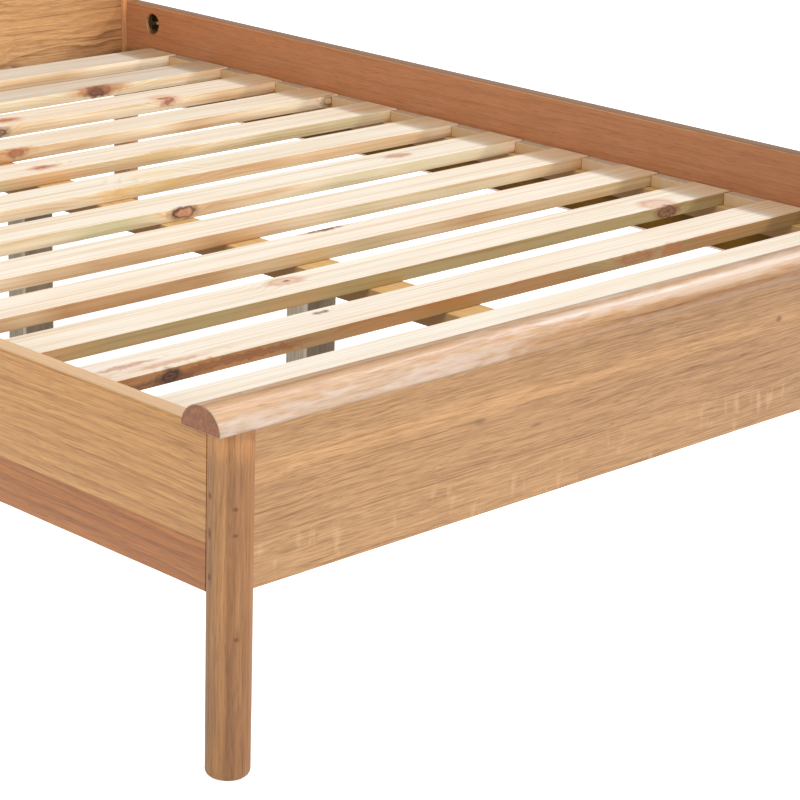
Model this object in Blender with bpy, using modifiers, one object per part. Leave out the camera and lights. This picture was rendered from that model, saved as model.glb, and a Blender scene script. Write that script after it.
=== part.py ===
"""Slatted wooden bed frame for a 1.50 m x 2.00 m mattress.

X runs across the bed, +Y runs from the foot end to the head end, +Z is up.
The floor is z = 0 and the origin is below the middle of the frame's outline.
"""
import math

import bmesh
import bpy

# ---------------------------------------------------------------- clearances
FIT = 0.0003             # gap between pieces that touch or are screwed together
PANEL_FIT = 0.0005       # side play of a panel or rail end in its groove
LEDGER_END_PLAY = 0.0015
BLOCK_PLAY = 0.0010      # play between a slat edge and a spacer block
SLAT_END_PLAY = 0.0030   # play between a slat end and the side rail
MATTRESS_PLAY_X = 0.0060
MATTRESS_PLAY_Y = 0.0190

# ---------------------------------------------------------------- main sizes
MATTRESS_W = 1.500
MATTRESS_L = 2.000
RAIL_T = 0.027
RAIL_H = 0.189
RAIL_Z0 = 0.214          # underside of the side rails and panels above the floor
RAIL_TOP_R = 0.004
RAIL_EDGE_R = 0.0012
PANEL_T = 0.022
PANEL_EDGE = 0.0008
FOOT_H = 0.4080          # height of the foot legs, underside of the foot cap
HEAD_H = 0.9700          # height of the head posts, underside of the head cap
UNDER_SLOPE = 0.0115     # inner lower edges of rails and panels above the outer ones

LEG_D = 0.051            # foot legs
POST_D = 0.047           # head posts
LEG_ROUND = 0.008        # rounding at the floor
LEG_TOP_CHAMFER = 0.0008
LEG_FLAT = 0.005         # depth of the grooves in the legs
FOOT_LEG_BACK = 0.0068   # leg axis behind the outer face of the foot panel
LEG_INSET_X = RAIL_T / 2 + 0.0034
POST_INSET_X = RAIL_T / 2 + 0.0003

CAP_W = 0.064
CAP_H = 0.0297
CAP_EDGE_R = 0.0015
CAP_OVERHANG = 0.0265    # cap end beyond the outer face of the side rail
CAP_END_CHAMFER = 0.0008

SLAT_COUNT = 13
SLAT_W = 0.0753
SLAT_T = 0.0195
SLAT_PITCH = 0.07425 * MATTRESS_L
SLAT_EDGE = 0.0010
SLAT_TOP_BELOW_RAIL = 0.0795

BATTEN_T = 0.027         # height of the ledgers and the centre beam
LEDGER_W = 0.035
LEDGER_EDGE = 0.0010
BLOCK_W = 0.021
BLOCK_BELOW_SLAT = 0.0015
BLOCK_EDGE = 0.0008

BEAM_W = 0.066
BEAM_POCKET = 0.008      # depth of the pockets that hold the beam ends
BEAM_EDGE = 0.0010
CENTRE_LEG_X = 0.062
CENTRE_LEG_Y = 0.044
CENTRE_LEG_R = 0.007
CENTRE_LEG_FROM_FOOT = (0.350 * MATTRESS_L, 0.677 * MATTRESS_L)
SPIGOT_D = 0.020
SPIGOT_L = 0.014

HOLE_D = 0.039           # access holes in the inner faces of the side rails
HOLE_WEB = 0.0055        # wood left behind an access hole
HOLE_DEPTH = RAIL_T - HOLE_WEB
HOLE_FROM_END = 0.0762
HOLE_BELOW_TOP = 0.0335
BOLT_D = 0.008
BOLT_IN_LEG = 0.028
BOLT_FREE_END = 0.003
BOLT_TIP = 0.0008
NUT_AF = 0.013
NUT_H = 0.0065
WASHER_T = 0.0060
WASHER_X = 0.0070
WASHER_Z = 0.0125

ROUND_STEPS = 48
HOLE_STEPS = 40
CORNER_STEPS = 4
CUT_OVER = 0.010         # how far cutters run past the faces they open

# ------------------------------------------------------------- derived sizes
INNER_W = MATTRESS_W + MATTRESS_PLAY_X
INNER_L = MATTRESS_L + MATTRESS_PLAY_Y
OUTER_HALF = INNER_W / 2 + RAIL_T
LEG_X = OUTER_HALF - LEG_INSET_X
POST_X = OUTER_HALF - POST_INSET_X
# positions along the bed are first counted from the outer face of the foot panel
HEAD_INNER = PANEL_T + INNER_L
HEAD_LEG = HEAD_INNER + PANEL_T / 2
LENGTH_FRONT = FOOT_LEG_BACK - CAP_W / 2
LENGTH_BACK = HEAD_LEG + CAP_W / 2
MID = (LENGTH_FRONT + LENGTH_BACK) / 2
RAIL_Y0 = FOOT_LEG_BACK + LEG_D / 2 - LEG_FLAT
RAIL_Y1 = HEAD_LEG - POST_D / 2 + LEG_FLAT
RAIL_Z1 = RAIL_Z0 + RAIL_H
SLAT_Z1 = RAIL_Z1 - SLAT_TOP_BELOW_RAIL
SLAT_Z0 = SLAT_Z1 - SLAT_T
BATTEN_Z1 = SLAT_Z0 - FIT
BATTEN_Z0 = BATTEN_Z1 - BATTEN_T
SLAT_ROW = (SLAT_COUNT - 1) * SLAT_PITCH + SLAT_W
SLAT_FIRST = PANEL_T + (INNER_L - SLAT_ROW) / 2 + SLAT_W / 2
HOLE_Z = RAIL_Z1 - HOLE_BELOW_TOP
RAIL_X = OUTER_HALF - RAIL_T / 2


def world_y(y):
    """Position counted from the foot panel's outer face, as a world Y."""
    return y - MID


# -------------------------------------------------------------- scene set-up
for old in list(bpy.data.objects):
    bpy.data.objects.remove(old, do_unlink=True)

scene = bpy.context.scene
parts = bpy.data.collections.new("wooden_bed_frame")
cutters = bpy.data.collections.new("cutters")
scene.collection.children.link(parts)
scene.collection.children.link(cutters)

OAK = (0.600, 0.335, 0.150, 1.0)
OAK_INNER = (0.420, 0.190, 0.090, 1.0)
OAK_LEG = (0.480, 0.270, 0.140, 1.0)
PINE = (0.800, 0.630, 0.430, 1.0)
PINE_PALE = (0.760, 0.660, 0.540, 1.0)
PINE_BROWN = (0.560, 0.380, 0.210, 1.0)
STEEL = (0.520, 0.430, 0.270, 1.0)


def material(name, colour, roughness, metallic):
    mat = bpy.data.materials.new("mat_" + name)
    mat.use_nodes = True
    shader = mat.node_tree.nodes["Principled BSDF"]
    shader.inputs["Base Color"].default_value = colour
    shader.inputs["Roughness"].default_value = roughness
    shader.inputs["Metallic"].default_value = metallic
    return mat


def add_part(name, mesh, location, colour, roughness=0.5, metallic=0.0):
    obj = bpy.data.objects.new(name, mesh)
    obj.location = location
    parts.objects.link(obj)
    mesh.materials.clear()
    mesh.materials.append(material(name, colour, roughness, metallic))
    return obj


def add_cutter(name, mesh, location):
    obj = bpy.data.objects.new(name, mesh)
    obj.location = location
    cutters.objects.link(obj)
    obj.hide_render = True
    obj.display_type = 'WIRE'
    return obj


def cut(obj, cutter):
    mod = obj.modifiers.new("cut_" + cutter.name, 'BOOLEAN')
    mod.operation = 'DIFFERENCE'
    mod.solver = 'EXACT'
    mod.object = cutter


def join(obj, other):
    mod = obj.modifiers.new("join_" + other.name, 'BOOLEAN')
    mod.operation = 'UNION'
    mod.solver = 'EXACT'
    mod.object = other


def bevel(obj, width, segments=2):
    mod = obj.modifiers.new("edges", 'BEVEL')
    mod.width = width
    mod.segments = segments
    mod.limit_method = 'ANGLE'
    mod.angle_limit = math.radians(40)


def finish_mesh(bm, name):
    bmesh.ops.recalc_face_normals(bm, faces=bm.faces)
    mesh = bpy.data.meshes.new(name)
    bm.to_mesh(mesh)
    bm.free()
    return mesh


def box_mesh(name, sx, sy, sz):
    bm = bmesh.new()
    bmesh.ops.create_cube(bm, size=1.0)
    bmesh.ops.scale(bm, vec=(sx, sy, sz), verts=bm.verts)
    return finish_mesh(bm, name)


def arc(cx, cz, radius_x, radius_z, start, stop, steps):
    points = []
    for i in range(steps + 1):
        angle = math.radians(start + (stop - start) * i / steps)
        points.append((cx + radius_x * math.cos(angle), cz + radius_z * math.sin(angle)))
    return points


def prism_mesh(name, outline, length, axis):
    """Outline in the plane across the axis, extruded to both sides of it."""
    bm = bmesh.new()
    verts = []
    for a, b in outline:
        if axis == 'X':
            point = (-length / 2, a, b)
        elif axis == 'Y':
            point = (a, -length / 2, b)
        else:
            point = (a, b, -length / 2)
        verts.append(bm.verts.new(point))
    face = bm.faces.new(verts)
    moved = bmesh.ops.extrude_face_region(bm, geom=[face])
    top = [v for v in moved["geom"] if isinstance(v, bmesh.types.BMVert)]
    shift = {'X': (length, 0, 0), 'Y': (0, length, 0), 'Z': (0, 0, length)}[axis]
    bmesh.ops.translate(bm, vec=shift, verts=top)
    return finish_mesh(bm, name)


def cylinder_mesh(name, diameter, length, axis, steps=HOLE_STEPS):
    circle = arc(0, 0, diameter / 2, diameter / 2, 0, 360 - 360 / steps, steps - 1)
    return prism_mesh(name, circle, length, axis)


def lathe(obj, steps):
    mod = obj.modifiers.new("lathe", 'SCREW')
    mod.axis = 'Z'
    mod.angle = math.radians(360)
    mod.steps = steps
    mod.render_steps = steps
    mod.use_merge_vertices = True
    mod.merge_threshold = 0.00001
    mod.use_normal_calculate = True


def profile_mesh(name, points):
    bm = bmesh.new()
    verts = [bm.verts.new((x, 0, z)) for x, z in points]
    for first, second in zip(verts, verts[1:]):
        bm.edges.new((first, second))
    mesh = bpy.data.meshes.new(name)
    bm.to_mesh(mesh)
    bm.free()
    return mesh


def smooth(obj, angle=35):
    for face in obj.data.polygons:
        face.use_smooth = True
    obj.data.set_sharp_from_angle(angle=math.radians(angle))


# ----------------------------------------------------------------- side rails
def rail_outline(sign):
    """Outline of a rail whose inner face looks towards -sign."""
    half_t = RAIL_T / 2
    half_h = RAIL_H / 2
    r1 = RAIL_TOP_R
    r2 = RAIL_EDGE_R
    points = arc(half_t - r1, half_h - r1, r1, r1, 0, 90, CORNER_STEPS)
    points += arc(-half_t + r1, half_h - r1, r1, r1, 90, 180, CORNER_STEPS)
    points += arc(-half_t + r2, -half_h + UNDER_SLOPE + r2, r2, r2, 180, 270, 2)
    points += arc(half_t - r2, -half_h + r2, r2, r2, 270, 360, 2)
    return [(sign * a, b) for a, b in points]


RAIL_LEN = RAIL_Y1 - RAIL_Y0 - 2 * FIT
hole_y = (RAIL_Y0 + HOLE_FROM_END, RAIL_Y1 - HOLE_FROM_END)
for side, sign in (("left", -1), ("right", 1)):
    rail_mesh = prism_mesh("side_rail", rail_outline(sign), RAIL_LEN, 'Y')
    rail = add_part("side_rail_" + side, rail_mesh,
                    (sign * RAIL_X, world_y((RAIL_Y0 + RAIL_Y1) / 2),
                     RAIL_Z0 + RAIL_H / 2), OAK, 0.45)
    for end, y, outward in (("foot", hole_y[0], -1), ("head", hole_y[1], 1)):
        tag = end + "_" + side
        hole_len = HOLE_DEPTH + CUT_OVER
        hole_x = OUTER_HALF - RAIL_T + HOLE_DEPTH - hole_len / 2
        access = add_cutter("cut_access_" + tag,
                            cylinder_mesh("access", HOLE_D, hole_len, 'X'),
                            (sign * hole_x, world_y(y), HOLE_Z))
        bore_len = HOLE_FROM_END + CUT_OVER
        bore = add_cutter("cut_rail_bore_" + tag,
                          cylinder_mesh("bore", BOLT_D + 2 * FIT, bore_len, 'Y', 24),
                          (sign * RAIL_X, world_y(y + outward * bore_len / 2), HOLE_Z))
        cut(rail, access)
        cut(rail, bore)

# -------------------------------------------------------- legs and head posts
def leg_profile(radius, height):
    points = [(0.0, 0.0)]
    points += arc(radius - LEG_ROUND, LEG_ROUND, LEG_ROUND, LEG_ROUND, -90, 0, 5)
    points += [(radius, RAIL_Z0 - CUT_OVER)]
    points += [(radius, height - LEG_TOP_CHAMFER)]
    points += [(radius - LEG_TOP_CHAMFER, height)]
    points += [(0.0, height)]
    return points


GROOVE_Z0 = RAIL_Z0 - FIT


def groove(name, centre, size):
    return add_cutter(name, box_mesh(name, *size), centre)


def add_leg(name, side, y, height, inward, end):
    sign = -1 if side == "left" else 1
    leg_top = height - FIT
    radius = LEG_D / 2 if end == "foot" else POST_D / 2
    x = sign * (LEG_X if end == "foot" else POST_X)
    leg = add_part(name, profile_mesh(name, leg_profile(radius, leg_top)),
                   (x, world_y(y), 0.0), OAK_LEG, 0.5)
    lathe(leg, ROUND_STEPS)
    # groove for the end of the panel
    panel_mid = PANEL_T / 2 if end == "foot" else HEAD_INNER + PANEL_T / 2
    reach = radius + CUT_OVER
    depth0 = radius - LEG_FLAT
    high = leg_top + CUT_OVER - GROOVE_Z0
    size = (reach - depth0, PANEL_T + 2 * PANEL_FIT, high)
    centre = (x - sign * (reach + depth0) / 2, world_y(panel_mid), GROOVE_Z0 + high / 2)
    cut(leg, groove("cut_panel_groove_" + name, centre, size))
    # groove for the end of the side rail, as tall as the rail
    high = RAIL_H + 2 * FIT
    size = (RAIL_T + 2 * PANEL_FIT, reach - depth0, high)
    centre = (sign * RAIL_X, world_y(y + inward * (reach + depth0) / 2),
              GROOVE_Z0 + high / 2)
    cut(leg, groove("cut_rail_groove_" + name, centre, size))
    # blind bore for the bolt
    bore_len = BOLT_IN_LEG + CUT_OVER
    bore_mid = depth0 + CUT_OVER - bore_len / 2
    bore = add_cutter("cut_leg_bore_" + name,
                      cylinder_mesh("leg_bore", BOLT_D + 2 * FIT, bore_len, 'Y', 24),
                      (sign * RAIL_X, world_y(y + inward * bore_mid), HOLE_Z))
    cut(leg, bore)


for side in ("left", "right"):
    add_leg("foot_leg_" + side, side, FOOT_LEG_BACK, FOOT_H, 1, "foot")
    add_leg("head_post_" + side, side, HEAD_LEG, HEAD_H, -1, "head")

# --------------------------------------------------------- foot and head panel
POCKET = (BEAM_W + 2 * PANEL_FIT, BEAM_POCKET + CUT_OVER, BATTEN_T + 2 * PANEL_FIT)
POCKET_Z = (BATTEN_Z0 + BATTEN_Z1) / 2
for name, outer_y, top, inward, leg_x, leg_d in (
        ("foot_panel", 0.0, FOOT_H, 1, LEG_X, LEG_D),
        ("headboard_panel", HEAD_INNER, HEAD_H, -1, POST_X, POST_D)):
    high = top - FIT - RAIL_Z0
    half_t = inward * PANEL_T / 2
    outline = [(-half_t, -high / 2), (half_t, -high / 2 + UNDER_SLOPE),
               (half_t, high / 2), (-half_t, high / 2)]
    panel_len = 2 * (leg_x - leg_d / 2 + LEG_FLAT - FIT)
    panel = add_part(name, prism_mesh(name, outline, panel_len, 'X'),
                     (0.0, world_y(outer_y + PANEL_T / 2), RAIL_Z0 + high / 2), OAK, 0.45)
    bevel(panel, PANEL_EDGE, 1)
    inner_y = PANEL_T if inward > 0 else HEAD_INNER
    pocket_y = inner_y + inward * (CUT_OVER - BEAM_POCKET) / 2
    cut(panel, groove("cut_beam_pocket_" + name, (0.0, world_y(pocket_y), POCKET_Z), POCKET))

# ------------------------------------------------------------------ cap rails
def cap_outline():
    half = CAP_W / 2
    r = CAP_EDGE_R
    points = arc(half - r, r, r, r, -90, 0, 2)
    points += arc(0.0, r, half, CAP_H - r, 0, 180, 28)[1:-1]
    points += arc(-half + r, r, r, r, 180, 270, 2)
    return points


CAP_LEN = 2 * (OUTER_HALF + CAP_OVERHANG)
cap_mesh = prism_mesh("cap_rail", cap_outline(), CAP_LEN, 'X')
for name, y, z in (("foot_cap_rail", FOOT_LEG_BACK, FOOT_H),
                   ("headboard_cap_rail", HEAD_LEG, HEAD_H)):
    cap = add_part(name, cap_mesh.copy(), (0.0, world_y(y), z), OAK, 0.4)
    smooth(cap)
    bevel(cap, CAP_END_CHAMFER, 1)

# ------------------------------------------------------- ledgers and the slats
LEDGER_X = INNER_W / 2 - FIT - LEDGER_W / 2
# the round legs reach this far along the inner face of the side rail
leg_reach = math.sqrt((LEG_D / 2) ** 2 - (LEG_X - INNER_W / 2) ** 2)
post_reach = math.sqrt((POST_D / 2) ** 2 - (POST_X - INNER_W / 2) ** 2)
LEDGER_Y0 = FOOT_LEG_BACK + leg_reach + LEDGER_END_PLAY
LEDGER_Y1 = HEAD_LEG - post_reach - LEDGER_END_PLAY
LEDGER_LEN = LEDGER_Y1 - LEDGER_Y0
ledger_mesh = box_mesh("slat_ledger", LEDGER_W, LEDGER_LEN, BATTEN_T)
for side, sign in (("left", -1), ("right", 1)):
    ledger = add_part("slat_ledger_" + side, ledger_mesh.copy(),
                      (sign * LEDGER_X, world_y((LEDGER_Y0 + LEDGER_Y1) / 2),
                       (BATTEN_Z0 + BATTEN_Z1) / 2), PINE_BROWN, 0.6)
    bevel(ledger, LEDGER_EDGE, 1)

SLAT_LEN = INNER_W - 2 * SLAT_END_PLAY
slat_mesh = box_mesh("slat", SLAT_LEN, SLAT_W, SLAT_T)
for i in range(SLAT_COUNT):
    y = SLAT_FIRST + i * SLAT_PITCH
    slat = add_part("slat_%02d" % (i + 1), slat_mesh.copy(),
                    (0.0, world_y(y), SLAT_Z0 + SLAT_T / 2), PINE, 0.55)
    bevel(slat, SLAT_EDGE, 2)

BLOCK_LEN = SLAT_PITCH - SLAT_W - 2 * BLOCK_PLAY
BLOCK_H = SLAT_T - BLOCK_BELOW_SLAT
BLOCK_X = INNER_W / 2 - FIT - BLOCK_W / 2
block_mesh = box_mesh("spacer_block", BLOCK_W, BLOCK_LEN, BLOCK_H)
for side, sign in (("left", -1), ("right", 1)):
    for i in range(SLAT_COUNT - 1):
        y = SLAT_FIRST + (i + 0.5) * SLAT_PITCH
        block = add_part("spacer_block_%s_%02d" % (side, i + 1), block_mesh.copy(),
                         (sign * BLOCK_X, world_y(y), SLAT_Z0 + BLOCK_H / 2),
                         PINE_PALE, 0.6)
        bevel(block, BLOCK_EDGE, 1)

# ------------------------------------------------- centre beam and centre legs
BEAM_LEN = INNER_L + 2 * (BEAM_POCKET - FIT)
beam = add_part("centre_beam", box_mesh("centre_beam", BEAM_W, BEAM_LEN, BATTEN_T),
                (0.0, world_y(PANEL_T + INNER_L / 2), POCKET_Z), PINE_BROWN, 0.6)
bevel(beam, BEAM_EDGE, 1)

LEG_TOP = BATTEN_Z0 - FIT


def rounded_rectangle(sx, sy, r, steps):
    corners = ((sx / 2 - r, sy / 2 - r, 0), (-sx / 2 + r, sy / 2 - r, 90),
               (-sx / 2 + r, -sy / 2 + r, 180), (sx / 2 - r, -sy / 2 + r, 270))
    points = []
    for cx, cy, start in corners:
        points += arc(cx, cy, r, r, start, start + 90, steps)
    return points


leg_outline = rounded_rectangle(CENTRE_LEG_X, CENTRE_LEG_Y, CENTRE_LEG_R, CORNER_STEPS)
for number, y in enumerate(CENTRE_LEG_FROM_FOOT, 1):
    name = "centre_leg_%d" % number
    leg = add_part(name, prism_mesh(name, leg_outline, LEG_TOP, 'Z'),
                   (0.0, world_y(y), LEG_TOP / 2), OAK_LEG, 0.6)
    sunk = LEG_TOP / 4
    spigot = add_cutter("spigot_" + name,
                        cylinder_mesh("spigot", SPIGOT_D, SPIGOT_L + sunk, 'Z', 32),
                        (0.0, world_y(y), LEG_TOP + (SPIGOT_L - sunk) / 2))
    join(leg, spigot)
    socket_deep = SPIGOT_L + 2 * FIT
    socket = add_cutter("cut_socket_" + name,
                        cylinder_mesh("socket", SPIGOT_D + 2 * FIT,
                                      socket_deep + CUT_OVER, 'Z', 32),
                        (0.0, world_y(y), BATTEN_Z0 + (socket_deep - CUT_OVER) / 2))
    cut(beam, socket)

# ------------------------------------------------------------ corner hardware
def bolt_profile(length):
    r = BOLT_D / 2
    c = BOLT_TIP
    return [(0.0, 0.0), (r - c, 0.0), (r, c), (r, length - c), (r - c, length), (0.0, length)]


def crescent_outline():
    """Half-moon block whose curved side follows the wall of the access hole."""
    radius = HOLE_D / 2 - FIT
    spread = math.degrees(math.asin(WASHER_Z / radius))
    wall = arc(0.0, 0.0, radius, radius, -spread, spread, 10)
    flat = wall[0][0] - WASHER_T
    return [(flat, -WASHER_Z)] + wall + [(flat, WASHER_Z)], flat


def add_nut(name, centre, outward):
    outline, flat = crescent_outline()
    turned = [(outward * a, b) for a, b in outline]
    # the half-moon washer is extruded across the rail, the nut along the bolt
    bm = bmesh.new()
    verts = [bm.verts.new((-WASHER_X, a, b)) for a, b in turned]
    face = bm.faces.new(verts)
    moved = bmesh.ops.extrude_face_region(bm, geom=[face])
    top = [v for v in moved["geom"] if isinstance(v, bmesh.types.BMVert)]
    bmesh.ops.translate(bm, vec=(2 * WASHER_X, 0, 0), verts=top)
    nut = add_part(name, finish_mesh(bm, name), centre, STEEL, 0.35, 0.9)
    corner = NUT_AF / math.sqrt(3)
    hexagon = [(corner * math.sin(math.radians(60 * i)),
                corner * math.cos(math.radians(60 * i))) for i in range(6)]
    sunk = WASHER_T / 2
    hex_y = centre[1] + outward * (flat + sunk / 2 - NUT_H / 2)
    hexed = add_cutter("hex_" + name, prism_mesh("hex", hexagon, NUT_H + sunk, 'Y'),
                       (centre[0], hex_y, centre[2]))
    join(nut, hexed)
    thread = add_cutter("cut_thread_" + name,
                        cylinder_mesh("thread", BOLT_D + 2 * FIT, HOLE_D, 'Y', 24), centre)
    cut(nut, thread)


for side, sign in (("left", -1), ("right", 1)):
    for end, hole, leg_y, outward in (("foot", hole_y[0], FOOT_LEG_BACK, -1),
                                      ("head", hole_y[1], HEAD_LEG, 1)):
        tag = end + "_" + side
        leg_r = LEG_D / 2 if end == "foot" else POST_D / 2
        bore_end = leg_y - outward * (leg_r - LEG_FLAT - BOLT_IN_LEG + FIT)
        free_end = hole - outward * (HOLE_D / 2 - BOLT_FREE_END)
        length = abs(bore_end - free_end)
        bolt = add_part("corner_bolt_" + tag,
                        profile_mesh("corner_bolt", bolt_profile(length)),
                        (sign * RAIL_X, world_y(free_end), HOLE_Z), STEEL, 0.35, 0.9)
        bolt.rotation_euler = (math.radians(-90 * outward), 0.0, 0.0)
        lathe(bolt, 24)
        add_nut("corner_nut_" + tag, (sign * RAIL_X, world_y(hole), HOLE_Z), outward)
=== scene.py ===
"""Visual model of the slatted wooden bed frame."""
import math

import bpy
from mathutils import Matrix, Vector


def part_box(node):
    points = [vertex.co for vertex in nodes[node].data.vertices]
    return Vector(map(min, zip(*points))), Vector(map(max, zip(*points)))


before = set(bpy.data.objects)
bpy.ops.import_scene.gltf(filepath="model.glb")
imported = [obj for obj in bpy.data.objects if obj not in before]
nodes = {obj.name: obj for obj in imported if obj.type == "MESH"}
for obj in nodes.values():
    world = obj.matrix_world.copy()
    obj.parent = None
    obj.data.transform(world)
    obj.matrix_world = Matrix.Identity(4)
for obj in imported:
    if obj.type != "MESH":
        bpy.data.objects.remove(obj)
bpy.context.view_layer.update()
WHITE = (1.0, 1.0, 1.0)

# --------------------------------------------------------------- camera
AZIMUTH = math.radians(-45.13)
ELEVATION = math.radians(18.165)
ROLL = math.radians(-1.776)
CAMERA_AT = Vector((-2.6329, -3.1345, 1.3637))
LENS_MM = 126.34
SENSOR_MM = 36.0
CLIP_END = 100.0

back = Vector((math.sin(AZIMUTH) * math.cos(ELEVATION),
               -math.cos(AZIMUTH) * math.cos(ELEVATION),
               math.sin(ELEVATION)))
level_right = Vector((0, 0, 1)).cross(back).normalized()
level_up = back.cross(level_right)
cam_right = math.cos(ROLL) * level_right - math.sin(ROLL) * level_up
cam_up = math.sin(ROLL) * level_right + math.cos(ROLL) * level_up
cam_data = bpy.data.cameras.new("camera")
cam_data.lens = LENS_MM
cam_data.sensor_width = SENSOR_MM
cam_data.clip_end = CLIP_END
cam = bpy.data.objects.new("camera", cam_data)
bpy.context.scene.collection.objects.link(cam)
pose = Matrix((cam_right, cam_up, back)).transposed().to_4x4()
pose.translation = CAMERA_AT
cam.matrix_world = pose
bpy.context.scene.camera = cam


# --------------------------------------------------------------- node helpers
class Graph:
    """Short names for building one material's node tree."""

    def __init__(self, name):
        self.mat = bpy.data.materials.new(name)
        self.mat.use_nodes = True
        self.tree = self.mat.node_tree
        self.shader = self.tree.nodes["Principled BSDF"]

    def node(self, kind, **props):
        made = self.tree.nodes.new(kind)
        for key, value in props.items():
            setattr(made, key, value)
        return made

    def put(self, socket, value):
        """Link another node's output to a socket, or set a plain value on it."""
        if isinstance(value, bpy.types.NodeSocket):
            self.tree.links.new(value, socket)
        else:
            socket.default_value = value

    def math(self, op, a, b=0.0, clamp=False):
        made = self.node("ShaderNodeMath", operation=op, use_clamp=clamp)
        self.put(made.inputs[0], a)
        self.put(made.inputs[1], b)
        return made.outputs[0]

    def add(self, a, b, clamp=False):
        return self.math('ADD', a, b, clamp)

    def sub(self, a, b):
        return self.math('SUBTRACT', a, b)

    def mul(self, a, b, clamp=False):
        return self.math('MULTIPLY', a, b, clamp)

    def swing(self, value, amount, middle=0.5):
        """How far a value lies above or below its middle, times an amount."""
        return self.mul(self.sub(value, middle), amount)

    def vec(self, op, a, b=(0, 0, 0)):
        made = self.node("ShaderNodeVectorMath", operation=op)
        self.put(made.inputs[0], a)
        self.put(made.inputs[1], b)
        return made.outputs["Value" if op == 'LENGTH' else "Vector"]

    def split(self, vector):
        made = self.node("ShaderNodeSeparateXYZ")
        self.put(made.inputs[0], vector)
        return made.outputs[0], made.outputs[1], made.outputs[2]

    def join(self, x, y, z):
        made = self.node("ShaderNodeCombineXYZ")
        for socket, value in zip(made.inputs, (x, y, z)):
            self.put(socket, value)
        return made.outputs[0]

    def noise(self, vector, detail=2.0, rough=0.5, scale=1.0, output="Fac"):
        made = self.node("ShaderNodeTexNoise")
        self.put(made.inputs["Vector"], vector)
        made.inputs["Scale"].default_value = scale
        made.inputs["Detail"].default_value = detail
        made.inputs["Roughness"].default_value = rough
        return made.outputs[output]

    def grain(self, vector, along, across, detail=2.0, rough=0.5):
        """Noise with its own frequency along the grain and across it, in cycles per metre."""
        stretched = self.vec('MULTIPLY', vector, (along, across, across))
        return self.noise(stretched, detail, rough)

    def ramp(self, factor, stops):
        made = self.node("ShaderNodeValToRGB")
        self.put(made.inputs[0], factor)
        elements = made.color_ramp.elements
        while len(elements) < len(stops):
            elements.new(0.5)
        for element, (place, colour) in zip(elements, stops):
            element.position = place
            element.color = (*colour, 1.0)
        return made.outputs[0]

    def mix(self, factor, a, b, blend='MIX'):
        made = self.node("ShaderNodeMix", data_type='RGBA', blend_type=blend)
        self.put(made.inputs["Factor"], factor)
        self.put(made.inputs[6], (*a, 1.0) if isinstance(a, tuple) else a)
        self.put(made.inputs[7], (*b, 1.0) if isinstance(b, tuple) else b)
        return made.outputs[2]

    def times(self, a, b):
        return self.mix(1.0, a, b, 'MULTIPLY')

    def tint(self, factor, colour, by):
        """Multiply a colour by another one, as far as the factor says."""
        return self.mix(factor, colour, self.times(colour, by))

    def smooth(self, value, low, high):
        """0 at low and beyond, 1 at high and beyond, with a soft step between."""
        made = self.node("ShaderNodeMapRange", interpolation_type='SMOOTHSTEP')
        self.put(made.inputs[0], value)
        made.inputs[1].default_value = low
        made.inputs[2].default_value = high
        return made.outputs[0]

    def surface(self, colour, rough, relief, strength, depth):
        """Connect colour, roughness and a fine relief to the shader."""
        self.put(self.shader.inputs["Base Color"], colour)
        self.put(self.shader.inputs["Roughness"], rough)
        bump = self.node("ShaderNodeBump")
        bump.inputs["Strength"].default_value = strength
        bump.inputs["Distance"].default_value = depth
        self.put(bump.inputs["Height"], relief)
        self.put(self.shader.inputs["Normal"], bump.outputs[0])


def coordinates(g):
    """The surface normal and the point's x, y and z. CAD objects sit at the origin."""
    coord = g.node("ShaderNodeTexCoord")
    return coord.outputs["Normal"], g.split(coord.outputs["Object"])


# which coordinates run along the grain, across it and through the board
GRAIN_ORDER = {'X': (0, 1, 2), 'Y': (1, 2, 0), 'Z': (2, 0, 1), 'XZ': (0, 2, 1)}


def turned(g, xyz, axis, shift=0.0):
    """The point, turned so that its first coordinate runs along the grain."""
    ordered = g.join(*(xyz[index] for index in GRAIN_ORDER[axis]))
    return g.vec('ADD', ordered, (shift, 0.0, 0.0))


def distance(g, point, centre, size):
    """Distance from a spot's centre, measured so that 1 is its edge."""
    inverse = tuple(1.0 / value for value in size)
    return g.vec('LENGTH', g.vec('MULTIPLY', g.vec('SUBTRACT', point, centre), inverse))


def near(g, point, centre, size):
    """1 at a spot's centre, falling to 0 at its edge."""
    return g.smooth(distance(g, point, centre, size), 1.0, 0.25)


def radius(g, a, b):
    return g.math('SQRT', g.add(g.mul(a, a), g.mul(b, b)))


def late_wood(g, step, power, edge):
    """A ring's dark line: it builds up slowly from 0 and ends sharply after the edge."""
    return g.mul(g.math('POWER', step, power), g.smooth(step, 1.0, edge))


def heart_rings(g, p, pith, slope, width, wave, wave_scale):
    """Growth rings round a slanting pith line: 0 in early wood to 1 in late wood."""
    along, across, through = g.split(p)
    bend = g.swing(g.grain(p, wave_scale, wave_scale * 5.0), wave)
    side = g.add(g.sub(across, pith[0]), bend)
    depth = g.add(g.sub(through, pith[1]), g.mul(along, slope))
    step = g.math('FRACT', g.math('DIVIDE', radius(g, side, depth), width))
    return late_wood(g, step, 4.0, 0.90)


def wavy_lines(g, p, width, swing, along, across):
    """Long wavy grain lines: the contour lines of a field stretched along the board."""
    field = g.grain(p, along, across, 2.0, 0.45)
    small = g.grain(p, along * 7.0, across * 7.0)
    step = g.add(g.math('DIVIDE', g.split(p)[1], width), g.mul(field, swing))
    step = g.math('FRACT', g.add(step, g.mul(small, 0.7)))
    patch = g.smooth(g.grain(p, 0.9, 9.0), 0.40, 0.60)
    patch = g.add(g.mul(patch, 0.75), 0.25)
    return g.mul(late_wood(g, step, 3.0, 0.88), patch)


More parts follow.
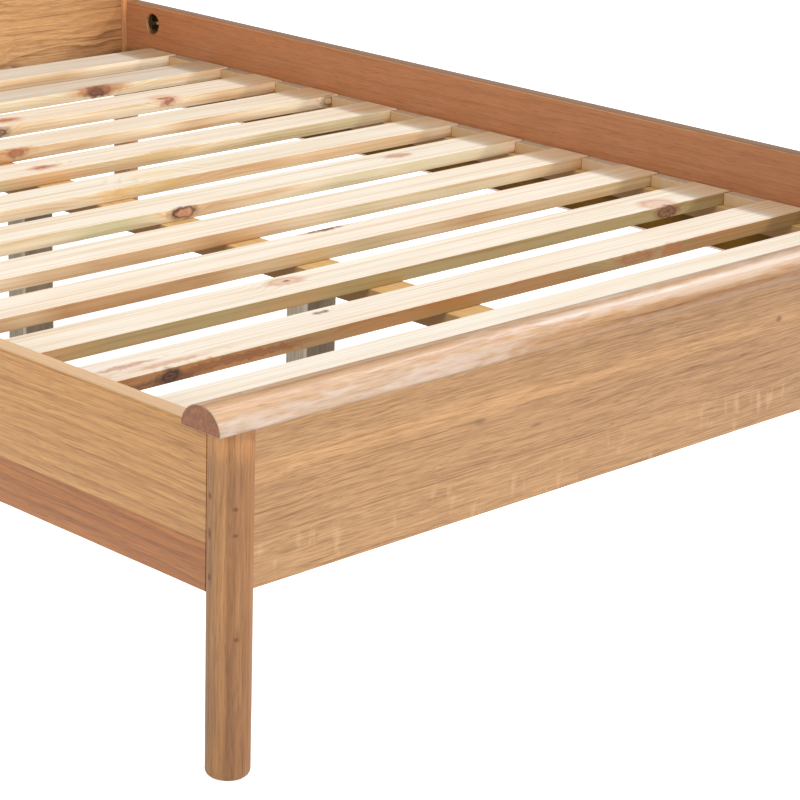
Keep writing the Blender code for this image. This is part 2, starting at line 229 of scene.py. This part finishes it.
WOOD_RELIEF = 0.0006     # depth of the fibres' bump, in metres
PORE_SHADE = 0.55        # pores are this much darker than the dark wood


def oak(name, axis, light, dark, seed, streak, lines=None, heart=None, rough=0.42, end=None,
        extra=None, ring_mix=0.50, drift_mix=0.45, fibre_mix=1.0):
    """Lacquered oak with fibres, long pores and colour drift, and end grain if end is given.

    Its figure is either lines, for wavy_lines, or heart, for heart_rings.
    """
    g = Graph(name)
    normal, xyz = coordinates(g)
    p = turned(g, xyz, axis, seed)
    ring = wavy_lines(g, p, **lines) if lines else heart_rings(g, p, **heart)
    waver = g.swing(g.grain(p, 4.0, 10.0), 0.012)
    q = g.vec('ADD', p, g.join(0.0, waver, waver))
    fibre = g.grain(q, 13.0, 400.0, 3.0, 0.7)
    line = g.grain(q, 1.2, 210.0, 3.0, 0.60)
    drift = g.grain(p, 1.8, 10.0, 3.0)
    pore = g.smooth(g.grain(q, 34.0, 1100.0, 1.0), 0.56, 0.68)
    tone = g.mul(ring, ring_mix)
    tone = g.add(tone, g.mul(g.smooth(line, 0.56, 0.68), streak * 0.55))
    tone = g.add(tone, g.swing(line, streak * 1.1))
    tone = g.add(tone, g.swing(fibre, fibre_mix))
    tone = g.add(tone, g.swing(drift, drift_mix))
    tone = g.add(tone, 0.24, clamp=True)
    colour = g.mix(tone, light, dark)
    colour = g.mix(g.mul(pore, 0.40), colour, tuple(PORE_SHADE * c for c in dark))
    if extra:
        colour = extra(g, colour, p, normal, xyz)
    if end:
        facing = g.split(normal)[GRAIN_ORDER[axis][0]]
        cut = g.smooth(g.math('ABSOLUTE', facing), 0.80, 0.95)
        dots = g.grain(p, 0.0, 150.0, 4.0)
        wood_end = g.mix(g.mul(ring, 0.7), end, tuple(0.62 * c for c in end))
        wood_end = g.mix(g.smooth(dots, 0.42, 0.66), wood_end, tuple(1.5 * c for c in end))
        colour = g.mix(cut, colour, wood_end)
    relief = g.add(fibre, g.mul(pore, -1.2))
    g.surface(colour, g.add(g.mul(fibre, 0.22), rough - 0.11), relief, 0.12, WOOD_RELIEF)
    return g.mat


def assign(node, mat):
    """Put one material on all of a CAD node's slots."""
    if not nodes[node].material_slots:
        nodes[node].data.materials.append(mat)
    for slot in nodes[node].material_slots:
        slot.material = mat


# --------------------------------------------------------------- sizes from the CAD
RAIL_IN = -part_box("side_rail_left")[1].x
SLAT_1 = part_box("slat_01")
SLAT_2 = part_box("slat_02")
SLAT_Y = (SLAT_1[0].y + SLAT_1[1].y) / 2
PITCH = SLAT_2[0].y - SLAT_1[0].y
SLAT_TOP = SLAT_1[1].z
SLAT_MID = (SLAT_1[0].z + SLAT_1[1].z) / 2
LEG_LO, LEG_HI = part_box("foot_leg_left")
LEG_MID = (LEG_LO + LEG_HI) / 2
LEG_R = (LEG_HI.x - LEG_LO.x) / 2


# --------------------------------------------------------------- oak parts
# Each function below is an oak material's extra: it changes the colour by place.
BOARD_JOINT = 0.271      # height of the glue line between the two boards of a rail or panel
JOINT_BLUR = 0.0006      # half the height over which one board's tone gives way to the other's
GLUE = (0.20, 0.09, 0.035)
# a side rail's inner face gets a painted shade tint: full to the first depth and gone at the
# second
INNER_FULL, INNER_GONE = 0.0002, 0.0012
# small dark marks on the foot panel: x, z, half length, half height, strength
SPECKS = ((0.168, 0.351, 0.008, 0.006, 0.85), (-0.386, 0.331, 0.014, 0.006, 0.55),
          (-0.288, 0.306, 0.014, 0.003, 0.6))
SPECK = (0.16, 0.075, 0.03)


def boards(g, colour, z, lower):
    """The lower board has its own tone, below a thin glue line."""
    below = g.smooth(z, BOARD_JOINT + JOINT_BLUR, BOARD_JOINT - JOINT_BLUR)
    colour = g.tint(below, colour, lower)
    joint = g.smooth(g.math('ABSOLUTE', g.sub(z, BOARD_JOINT)), 0.0012, 0.0003)
    return g.mix(g.mul(joint, 0.35), colour, GLUE)


def near_rail(g, colour, p, normal, xyz, pale=0.45):
    """Two boards, a paler upper face as painted highlight, a redder inner face as painted
    shade, and more painted shade with less specular below the slats.
    """
    x, y, z = xyz
    colour = boards(g, colour, z, (0.72, 0.50, 0.245))
    # Painted highlight: the near rail's upper face is made paler where light falls on it.
    upper = g.smooth(g.split(normal)[2], 0.6, 0.9)
    colour = g.mix(g.mul(upper, pale), colour, (0.80, 0.62, 0.42))
    # Painted shade: the inner face, turned away from the key light, is tinted darker and
    # redder.
    inner_face_shade = g.smooth(g.math('ABSOLUTE', x), RAIL_IN + INNER_GONE, RAIL_IN + INNER_FULL)
    colour = g.tint(inner_face_shade, colour, (0.70, 0.50, 0.40))
    # Painted shade under the slats: the inner face below the slat tops gets its own shaded
    # tint.
    under_slat_shade = g.mul(g.smooth(z, SLAT_TOP, SLAT_TOP - 0.020), inner_face_shade)
    g.put(g.shader.inputs["Specular IOR Level"], g.sub(0.5, g.mul(under_slat_shade, 0.48)))
    return g.tint(under_slat_shade, colour, (0.59, 1.0, 0.66))


def far_rail(g, colour, p, normal, xyz):
    """As the near rail, but its upper face is darkened brown as painted shade instead of made
    paler.
    """
    # Painted shade: the far rail's upper face is darkened.
    upper = g.smooth(g.split(normal)[2], 0.6, 0.9)
    colour = g.tint(upper, colour, (0.42, 0.34, 0.28))
    return near_rail(g, colour, p, normal, xyz, pale=0.0)


def headboard(g, colour, p, normal, xyz):
    """Painted shade darkens the headboard's face in its two lower corners."""
    x, y, z = xyz
    # Painted shade: the lower corners, where the side rails shade the face, are darkened.
    corner = g.mul(g.smooth(z, 0.56, 0.34), g.smooth(g.math('ABSOLUTE', x), 0.60, 0.74))
    return g.tint(g.mul(corner, 0.6), colour, (0.70, 0.56, 0.48))


def foot_panel(g, colour, p, normal, xyz):
    """Paler lower board with upright ray flecks, darker to the right, painted light just under
    the cap, with a few dark marks.
    """
    x, y, z = xyz
    colour = boards(g, colour, z, (1.06, 1.08, 1.10))
    colour = g.times(colour, g.mix(g.smooth(x, -0.70, 0.75), WHITE, (0.81, 0.77, 0.73)))
    # Painted light: the band just under the cap is made paler to cancel the cap's shadow.
    colour = g.tint(g.smooth(z, 0.325, 0.352), colour, (1.22, 1.24, 1.24))
    rays = g.noise(g.join(g.mul(x, 60.0), 0.0, g.mul(z, 22.0)))
    low = g.smooth(z, BOARD_JOINT + 0.010, BOARD_JOINT - 0.020)
    rays = g.mul(g.smooth(rays, 0.56, 0.72), low)
    colour = g.mix(g.mul(rays, 0.26), colour, (0.70, 0.46, 0.26))
    face = g.join(x, 0.0, z)
    for at_x, at_z, half_x, half_z, strength in SPECKS:
        spot = near(g, face, (at_x, 0.0, at_z), (half_x, 1.0, half_z))
        colour = g.mix(g.mul(spot, strength), colour, SPECK)
    return colour


def cap(g, colour, p, normal, xyz):
    """Painted sheen as pinkish patches and a satin near end, and painted shade low down and to
    the right.
    """
    x, y, z = xyz
    up = g.split(normal)[2]
    sheen_streaks = g.grain(p, 30.0, 150.0)
    patch = g.add(g.grain(p, 2.4, 34.0, 3.0), g.swing(sheen_streaks, 0.35))
    # Painted shade: the cap's lower faces, towards the right, are darkened and browner.
    low = g.mul(g.smooth(up, 0.80, 0.35), g.smooth(x, -0.55, 0.05))
    colour = g.tint(low, colour, (0.66, 0.58, 0.50))
    # Painted sheen: pinkish-white patches stand in for the lacquer's sheen, fewer on the shaded
    # lower faces.
    amount = g.mul(g.smooth(patch, 0.46, 0.62), g.sub(0.36, g.mul(low, 0.30)))
    colour = g.mix(amount, colour, (0.66, 0.58, 0.53))
    # Painted sheen on the upper faces of the cap's near end.
    satin_end_sheen = g.mul(g.smooth(up, 0.85, 0.55), g.smooth(x, -0.25, -0.60))
    return g.mix(g.mul(satin_end_sheen, g.mul(sheen_streaks, 0.5)), colour, (0.66, 0.60, 0.56))


# pin knots on the near foot leg: direction from the leg's axis, height, half height
LEG_MARKS = ((-0.976, 0.207, 0.331, 0.006), (-0.489, -0.874, 0.320, 0.0035),
             (-0.976, 0.207, 0.288, 0.010), (-0.489, -0.874, 0.290, 0.003),
             (-0.976, 0.207, 0.238, 0.006), (-0.40, -0.90, 0.170, 0.004))
MARK_WIDTH = 0.0045
MARK = (0.15, 0.045, 0.008)
# the staves' tones, from one side of the leg to the other
STAVES = ((0.0, (0.82, 0.78, 0.72)), (0.16, (0.98, 0.97, 0.92)), (0.40, (1.06, 1.04, 1.0)),
          (0.46, (0.70, 0.63, 0.54)), (0.58, (0.76, 0.69, 0.60)), (0.62, (0.92, 0.86, 0.80)),
          (0.80, (0.84, 0.76, 0.68)), (1.0, (0.76, 0.68, 0.60)))


def staves(g, colour, p, normal, xyz):
    """Legs are glued from staves, each with its own tone; the head posts are paler."""
    x, y, z = xyz
    from_x = g.sub(g.math('ABSOLUTE', x), abs(LEG_MID.x))
    from_y = g.sub(g.math('ABSOLUTE', y), abs(LEG_MID.y))
    across = g.sub(g.mul(from_y, 0.66), g.mul(from_x, 0.75))
    across = g.add(across, g.swing(g.grain(p, 5.0, 5.0, 1.0), 0.004))
    colour = g.times(colour, g.ramp(g.add(g.mul(across, 16.0), 0.5), STAVES))
    colour = g.tint(g.smooth(z, 0.26, 0.05), colour, (0.84, 0.83, 0.80))
    top = g.smooth(z, LEG_HI.z - 0.050, LEG_HI.z - 0.012)
    colour = g.tint(g.mul(top, 0.85), colour, (1.5, 1.5, 1.5))
    colour = g.tint(g.smooth(y, 0.0, 0.5), colour, (1.38, 1.30, 1.28))
    here = g.join(x, y, z)
    for dx, dy, height, half_height in LEG_MARKS:
        centre = (LEG_MID.x + dx * LEG_R, LEG_MID.y + dy * LEG_R, height)
        spot = near(g, here, centre, (MARK_WIDTH, MARK_WIDTH, half_height))
        colour = g.mix(g.mul(spot, 0.95), colour, MARK)
    return colour


def centre_leg(g, colour, p, normal, xyz):
    """Pale side faces, faces to the foot darkened brown as painted shade, and a painted
    highlight line where they meet.
    """
    to_head = g.split(normal)[1]
    # Painted shade: faces turned to the foot are darkened brown.
    colour = g.tint(g.smooth(to_head, -0.80, -0.97), colour, (0.50, 0.42, 0.32))
    # Painted highlight: a bright line along the rounded corner between the two faces.
    corner = g.mul(g.smooth(to_head, -0.25, -0.60), g.smooth(to_head, -0.97, -0.80))
    return g.mix(g.mul(corner, 0.75), colour, (0.66, 0.58, 0.47))


OAKS = {
    "foot_panel": oak(
        "foot_panel_oak", 'XZ', (0.485, 0.265, 0.110), (0.215, 0.090, 0.025), 3.1, 0.36,
        lines=dict(width=0.024, swing=3.0, along=1.1, across=9.0), extra=foot_panel,
        ring_mix=0.20, drift_mix=0.35, fibre_mix=2.5),
    "headboard_panel": oak(
        "head_panel_oak", 'XZ', (0.65, 0.362, 0.152), (0.21, 0.084, 0.027), 7.7, 0.55,
        lines=dict(width=0.024, swing=9.0, along=2.4, across=7.5), extra=headboard,
        ring_mix=0.95, drift_mix=0.5),
    "side_rail_left": oak(
        "rail_left_oak", 'Y', (0.68, 0.350, 0.112), (0.32, 0.122, 0.027), 1.3, 0.46,
        lines=dict(width=0.015, swing=6.0, along=0.8, across=6.0), extra=near_rail,
        ring_mix=0.58, drift_mix=0.4, fibre_mix=1.5),
    "side_rail_right": oak(
        "rail_right_oak", 'Y', (0.66, 0.385, 0.20), (0.38, 0.200, 0.095), 5.9, 0.26,
        lines=dict(width=0.020, swing=3.5, along=0.8, across=6.0), extra=far_rail,
        ring_mix=0.36, drift_mix=0.4),
}
cap_mat = oak(
    "cap_oak", 'X', (0.56, 0.335, 0.172), (0.27, 0.13, 0.054), 2.2, 0.50,
    heart=dict(pith=(-1.06, 0.36), slope=0.0, width=0.0085, wave=0.02, wave_scale=1.5),
    rough=0.40, end=(0.225, 0.073, 0.018), extra=cap)
leg_mat = oak(
    "leg_oak", 'Z', (0.45, 0.222, 0.083), (0.185, 0.078, 0.026), 4.4, 0.32,
    heart=dict(pith=(0.80, 0.95), slope=0.02, width=0.0075, wave=0.03, wave_scale=2.2),
    rough=0.62, end=(0.36, 0.20, 0.11), extra=staves, ring_mix=0.32, fibre_mix=1.3)
centre_leg_mat = oak(
    "centre_leg_wood", 'Z', (0.50, 0.42, 0.31), (0.25, 0.19, 0.125), 6.4, 0.30,
    heart=dict(pith=(0.05, 0.10), slope=0.01, width=0.0075, wave=0.02, wave_scale=2.5),
    rough=0.5, end=(0.24, 0.17, 0.11), extra=centre_leg)

for name in nodes:
    if name.startswith(("foot_leg", "head_post")):
        assign(name, leg_mat)
    elif name.startswith("centre_leg"):
        assign(name, centre_leg_mat)
    elif "_cap_" in name:
        assign(name, cap_mat)
    elif name in OAKS:
        assign(name, OAKS[name])


# --------------------------------------------------------------- pine parts
# knot colours, and knots: centre x, y, z, half sizes, colour, strength
BROWN = (0.13, 0.048, 0.022)
RED = (0.33, 0.115, 0.050)
PINK = (0.62, 0.32, 0.20)
ORANGE = (0.52, 0.23, 0.07)
KNOTS = (
    ((-0.208, -0.569, 0.324), (0.020, 0.007, 0.008), BROWN, 0.85),
    ((-0.555, -0.590, 0.324), (0.060, 0.008, 0.010), (0.55, 0.25, 0.15), 0.85),
    ((-0.500, -0.612, 0.324), (0.070, 0.008, 0.010), PINK, 0.80),
    ((-0.530, -0.630, 0.308), (0.085, 0.010, 0.009), BROWN, 0.75),
    ((-0.470, -0.630, 0.318), (0.055, 0.010, 0.007), ORANGE, 0.85),
    ((-0.400, -0.630, 0.314), (0.150, 0.010, 0.007), (0.30, 0.10, 0.03), 0.80),
    ((-0.516, -0.630, 0.313), (0.024, 0.012, 0.012), (0.055, 0.018, 0.009), 1.0),
    ((0.084, -0.260, 0.324), (0.062, 0.012, 0.008), ORANGE, 0.85),
    ((0.084, -0.259, 0.324), (0.042, 0.008, 0.008), BROWN, 1.0),
    ((-0.020, -0.630, 0.318), (0.085, 0.010, 0.005), ORANGE, 0.90),
    ((0.352, -0.630, 0.315), (0.055, 0.010, 0.010), (0.42, 0.165, 0.06), 0.85),
    ((0.432, -0.630, 0.315), (0.030, 0.010, 0.012), (0.50, 0.19, 0.065), 0.90),
    ((-0.144, -0.429, 0.324), (0.042, 0.020, 0.010), PINK, 0.90),
    ((-0.144, -0.429, 0.324), (0.029, 0.013, 0.010), (0.74, 0.52, 0.38), 0.90),
    ((-0.142, -0.430, 0.324), (0.009, 0.004, 0.010), BROWN, 0.95),
    ((0.592, -0.462, 0.324), (0.042, 0.030, 0.014), PINK, 0.90),
    ((0.592, -0.466, 0.324), (0.033, 0.021, 0.012), (0.78, 0.60, 0.46), 0.90),
    ((0.597, -0.481, 0.314), (0.036, 0.012, 0.013), (0.20, 0.068, 0.030), 1.0),
    ((0.010, -0.036, 0.315), (0.036, 0.010, 0.013), BROWN, 1.0),
    ((0.012, -0.036, 0.314), (0.018, 0.011, 0.008), PINK, 0.90),
    ((0.500, 0.008, 0.324), (0.036, 0.014, 0.008), RED, 0.70),
    ((0.500, 0.008, 0.324), (0.026, 0.009, 0.008), PINK, 0.90),
    ((0.060, 0.113, 0.316), (0.110, 0.012, 0.014), (0.66, 0.42, 0.13), 0.70),
    ((0.109, 0.150, 0.324), (0.060, 0.024, 0.008), (0.82, 0.66, 0.40), 0.60),
    ((0.450, 0.708, 0.320), (0.085, 0.022, 0.014), ORANGE, 0.80),
    ((0.445, 0.709, 0.318), (0.048, 0.017, 0.014), RED, 1.0),
    ((0.440, 0.709, 0.316), (0.026, 0.014, 0.012), BROWN, 1.0),
    ((0.482, 0.572, 0.320), (0.040, 0.032, 0.016), (0.72, 0.46, 0.30), 0.90),
    ((0.482, 0.566, 0.320), (0.024, 0.016, 0.010), RED, 1.0),
    ((0.155, 0.594, 0.324), (0.046, 0.020, 0.012), PINK, 0.90),
    ((0.155, 0.594, 0.324), (0.026, 0.010, 0.010), RED, 0.90),
    ((0.113, 0.559, 0.313), (0.032, 0.012, 0.012), BROWN, 1.0),
    ((0.030, 0.412, 0.322), (0.060, 0.012, 0.008), ORANGE, 0.90),
    ((0.040, 0.412, 0.318), (0.026, 0.012, 0.010), RED, 0.95),
    ((0.000, 0.290, 0.324), (0.040, 0.016, 0.010), PINK, 0.90),
    ((0.000, 0.290, 0.324), (0.024, 0.008, 0.010), RED, 0.95),
    ((0.726, 0.410, 0.314), (0.022, 0.012, 0.013), BROWN, 0.90),
    ((0.724, 0.410, 0.315), (0.013, 0.013, 0.007), (0.66, 0.44, 0.26), 1.0),
    ((0.230, 0.262, 0.320), (0.090, 0.014, 0.010), (0.66, 0.42, 0.16), 0.75),
)
# The slats' far ends turn warmer and darker here: painted shade where the far rail shades them.
RAIL_SHADOW_FROM, RAIL_SHADOW_TO = 0.655, 0.700       # x where the slats' far ends turn warmer
FAR_FRONT = (0.74, 0.585, 0.400)        # front faces of the pieces beyond the middle


def pine(name, width, top, side, line, offset=0.0, knots=(), per_piece=True, contrast=1.0,
         rail_shadow_tint=None):
    """Planed pine with its own colours for upper and other faces.

    With per_piece, every piece along the bed gets its own rings and tone from its number, and
    the offset says how far the first one lies from slat_01. A tint given for the far ends
    darkens and warms the tops there: painted shade in the far rail's shadow.
    """
    g = Graph(name)
    normal, (x, y, z) = coordinates(g)
    if per_piece:
        number = g.math('ROUND', g.math('DIVIDE', g.sub(y, SLAT_Y + offset), PITCH))
        along = g.add(x, g.mul(number, 3.7))
        across = g.sub(y, g.add(g.mul(number, PITCH), SLAT_Y + offset))
    else:
        number = g.mul(g.math('SIGN', x), 3.0)
        along = g.add(y, 9.0)
        across = g.sub(g.math('ABSOLUTE', x), 0.73)
    depth = g.sub(z, SLAT_MID)
    chance = g.node("ShaderNodeTexWhiteNoise", noise_dimensions='1D')
    g.put(chance.inputs["W"], g.add(number, 17.0 + offset))
    c1, c2, c3 = g.split(chance.outputs["Color"])
    q = g.join(along, across, depth)
    point = g.join(x, y, z)

    # growth rings, which bend round the knots
    bend = g.swing(g.grain(q, 1.7, 7.0), 0.030)
    sideways = g.add(g.add(across, bend), g.swing(c1, 0.10))
    down = g.add(depth, g.add(g.mul(c2, 0.07), 0.022))
    push = 0.0
    for centre, size, tone, strength in knots:
        wide = near(g, point, centre, tuple(1.9 * value for value in size))
        push = g.math('MAXIMUM', push, wide)
    down = g.add(down, g.mul(push, 0.012))
    step = g.math('FRACT', g.math('DIVIDE', radius(g, sideways, down), width))
    ring = late_wood(g, step, 3.0, 0.85)
    fibre = g.grain(q, 6.0, 330.0, 3.0, 0.6)
    streak = g.grain(q, 1.4, 90.0, 3.0, 0.6)
    drift = g.grain(q, 3.0, 14.0)

    # base colour by face, piece and place
    nx, ny, nz = g.split(normal)
    up = g.smooth(nz, 0.35, 0.75)
    if per_piece:
        side = g.mix(g.smooth(y, -0.45, 0.00), side, FAR_FRONT)
    # Painted shade: the tops' far ends, in the far rail's shadow, are tinted warmer and darker.
    if rail_shadow_tint:
        rail_shadow_top = tuple(a * b for a, b in zip(top, rail_shadow_tint))
        top = g.mix(g.smooth(x, RAIL_SHADOW_FROM, RAIL_SHADOW_TO), top, rail_shadow_top)
    face = g.mix(up, side, top)
    tint = g.mix(g.smooth(c3, 0.15, 0.85), (0.99, 1.0, 0.96), (1.0, 0.965, 0.92))
    far = g.mix(g.smooth(y, -0.55, 0.85), WHITE, (0.90, 0.90, 0.88))
    # Painted shade: the last slat, next to the headboard, is darkened.
    headboard_shade = g.mix(g.smooth(y, 0.62, 0.70), WHITE, (0.80, 0.82, 0.86))
    front = g.ramp(g.add(c1, g.swing(drift, 1.1)),
                   [(0.0, (0.86, 0.94, 0.78)), (0.25, (1.20, 1.22, 1.22)),
                    (0.45, (0.90, 0.76, 0.62)), (0.65, (1.14, 1.08, 1.00)),
                    (0.85, (0.80, 0.84, 0.72)), (1.0, (1.0, 0.85, 0.72))])
    front = g.times(front, g.mix(g.smooth(y, -0.25, 0.40), WHITE, (1.05, 1.12, 1.20)))
    face = g.times(face, g.mix(up, front, g.times(tint, g.times(far, headboard_shade))))
    hot = g.tint(g.smooth(drift, 0.38, 0.66), face, (0.93, 0.76, 0.56))
    warm = g.mix(g.smooth(y, -0.55, -0.10), (0.85, 0.85, 0.85), (0.45, 0.45, 0.45))
    face = g.mix(g.mix(up, warm, (0.22, 0.22, 0.22)), face, hot)

    # grain lines
    amount = g.add(g.mul(ring, 0.55), g.swing(streak, 2.0, 0.46))
    amount = g.add(amount, g.swing(fibre, 0.9))
    strength = g.mul(g.sub(1.05, g.mul(up, 0.20)), contrast)
    colour = g.tint(g.mul(amount, strength, clamp=True), face, line)

    # knots with ragged outlines and faint rings
    ragged = g.vec('SUBTRACT', g.noise(point, 3.0, scale=90.0, output="Color"), (0.5, 0.5, 0.5))
    spot_at = g.vec('ADD', point, g.vec('MULTIPLY', ragged, (0.014, 0.014, 0.014)))
    for centre, size, tone, strength in knots:
        away = distance(g, spot_at, centre, size)
        spot = g.mul(g.smooth(away, 1.05, 0.55), strength)
        circle = g.math('SINE', g.mul(away, 15.0))
        circle = g.add(g.mul(circle, 0.16), 0.84, clamp=True)
        colour = g.mix(g.mul(spot, circle), colour, tone)
    end = g.smooth(g.math('ABSOLUTE', nx), 0.80, 0.95)
    colour = g.mix(g.mul(end, 0.8), colour, (0.45, 0.265, 0.110))
    g.surface(colour, g.add(g.mul(fibre, 0.25), 0.48), fibre, 0.15, WOOD_RELIEF)
    return g.mat


slat_mat = pine("slat_pine", 0.0052, (0.88, 0.835, 0.755), (0.55, 0.375, 0.200),
                (0.74, 0.52, 0.32), knots=KNOTS, rail_shadow_tint=(0.94, 0.78, 0.60))
# The blocks' upper faces are darker than their pale sides: painted shade under the slats and
# rail.
block_mat = pine("block_pine", 0.0040, (0.60, 0.47, 0.35), (0.96, 0.89, 0.80),
                 (0.80, 0.68, 0.52), offset=PITCH / 2, contrast=0.7)
# The battens' side faces are near black: painted shade under the slats; their tops stay pale.
batten_mat = pine("batten_pine", 0.0060, (0.66, 0.45, 0.21), (0.070, 0.036, 0.009),
                  (0.70, 0.52, 0.36), per_piece=False)
batten_mat.node_tree.nodes["Principled BSDF"].inputs["Specular IOR Level"].default_value = 0.1
for name in nodes:
    if name.startswith("slat_ledger") or name == "centre_beam":
        assign(name, batten_mat)
    elif name.startswith("slat_"):
        assign(name, slat_mat)
    elif name.startswith("spacer_block"):
        assign(name, block_mat)


# --------------------------------------------------------------- plated steel
def plated(name, low, high, rough):
    """Yellow-passivated steel with turning marks and cloudy colour."""
    g = Graph(name)
    normal, xyz = coordinates(g)
    p = turned(g, xyz, 'Y')
    scratch = g.grain(p, 90.0, 1400.0, 3.0)
    cloud = g.grain(p, 160.0, 160.0, 3.0)
    g.shader.inputs["Metallic"].default_value = 0.9
    g.surface(g.mix(cloud, low, high), g.add(g.mul(scratch, 0.35), rough), scratch, 0.2, 0.0002)
    return g.mat


bolt_mat = plated("bolt_steel", (0.52, 0.47, 0.30), (0.80, 0.74, 0.52), 0.15)
# The nuts are near black: painted shade for the dark access hole they sit in.
nut_mat = plated("nut_steel", (0.045, 0.035, 0.018), (0.13, 0.10, 0.055), 0.25)
for name in nodes:
    if name.startswith("corner_"):
        assign(name, bolt_mat if "bolt" in name else nut_mat)

# --------------------------------------------------------------- smooth round parts
MERGE_DISTANCE = 0.00002                # metres
SHARP_ANGLE = math.radians(28.0)        # edges that bend more than this stay sharp
ROUND_PIECES = ("foot_leg", "head_post", "centre_leg", "corner_", "side_rail")


def smooth_group():
    """A modifier group that shades faces smooth and keeps sharp edges sharp."""
    group = bpy.data.node_groups.new("smooth_rounds", 'GeometryNodeTree')
    for in_out in ('INPUT', 'OUTPUT'):
        group.interface.new_socket("Geometry", in_out=in_out,
                                   socket_type='NodeSocketGeometry')
    new, link = group.nodes.new, group.links.new
    start, done = new("NodeGroupInput"), new("NodeGroupOutput")
    merge = new("GeometryNodeMergeByDistance")
    merge.inputs["Distance"].default_value = MERGE_DISTANCE
    angle = new("GeometryNodeInputMeshEdgeAngle")
    sharp = new("ShaderNodeMath")
    sharp.operation = 'GREATER_THAN'
    sharp.inputs[1].default_value = SHARP_ANGLE
    faces = new("GeometryNodeSetShadeSmooth")
    edges = new("GeometryNodeSetShadeSmooth")
    edges.domain = 'EDGE'
    edges.inputs["Shade Smooth"].default_value = False
    link(start.outputs[0], merge.inputs["Geometry"])
    link(merge.outputs["Geometry"], faces.inputs["Geometry"])
    link(faces.outputs["Geometry"], edges.inputs["Geometry"])
    link(angle.outputs["Unsigned Angle"], sharp.inputs[0])
    link(sharp.outputs[0], edges.inputs["Selection"])
    link(edges.outputs["Geometry"], done.inputs[0])
    return group


rounds = smooth_group()
for name in nodes:
    if name.startswith(ROUND_PIECES) or "_cap_" in name:
        smoother = nodes[name].modifiers.new("smooth_rounds", 'NODES')
        smoother.node_group = rounds


# --------------------------------------------------------------- stage
def sun(name, energy, direction, angle, colour=WHITE):
    """A sun lamp that shines from a direction; the angle in degrees softens its shadows."""
    data = bpy.data.lights.new(name, 'SUN')
    data.energy = energy
    data.color = colour
    data.angle = math.radians(angle)
    lamp = bpy.data.objects.new(name, data)
    bpy.context.scene.collection.objects.link(lamp)
    lamp.rotation_euler = Vector(direction).to_track_quat('Z', 'Y').to_euler()
    return lamp


key = sun("key", 2.3, (1.00, -0.44, 0.88), 5.0, (1.0, 0.98, 0.95))
key.visible_glossy = False
sun("left_fill", 1.2, (-1.0, -0.15, 0.5), 25.0)
sun("front_fill", 1.45, (-0.10, -1.0, 0.13), 16.0)
sheen = sun("sheen", 0.9, (0.70, 0.12, 0.70), 8.0)
sheen.visible_diffuse = False

WORLD_STRENGTH = 0.55
world = bpy.data.worlds.new("world")
world.use_nodes = True
background = world.node_tree.nodes["Background"]
background.inputs[0].default_value = (*WHITE, 1.0)
background.inputs[1].default_value = WORLD_STRENGTH
bpy.context.scene.world = world

FLOOR_HALF = 30.0
FLOOR_GAP = 0.0005       # the floor lies just below the feet
FLOOR_GREY = 0.85
FLOOR_GLOW = 0.75        # lifts the pale floor to white without brighter lamps
floor_mesh = bpy.data.meshes.new("floor")
floor_mesh.from_pydata([(-FLOOR_HALF, -FLOOR_HALF, 0), (FLOOR_HALF, -FLOOR_HALF, 0),
                        (FLOOR_HALF, FLOOR_HALF, 0), (-FLOOR_HALF, FLOOR_HALF, 0)],
                       [], [(0, 1, 2, 3)])
floor = bpy.data.objects.new("floor", floor_mesh)
bpy.context.scene.collection.objects.link(floor)
floor.location.z = -FLOOR_GAP
floor_look = Graph("floor")
floor_look.shader.inputs["Base Color"].default_value = (FLOOR_GREY, FLOOR_GREY, FLOOR_GREY, 1.0)
floor_look.shader.inputs["Roughness"].default_value = 0.8
floor_look.shader.inputs["Emission Color"].default_value = (*WHITE, 1.0)
floor_look.shader.inputs["Emission Strength"].default_value = FLOOR_GLOW
floor_mesh.materials.append(floor_look.mat)
floor.visible_diffuse = False

view = bpy.context.scene.view_settings
view.view_transform = 'Standard'
view.look = 'None'
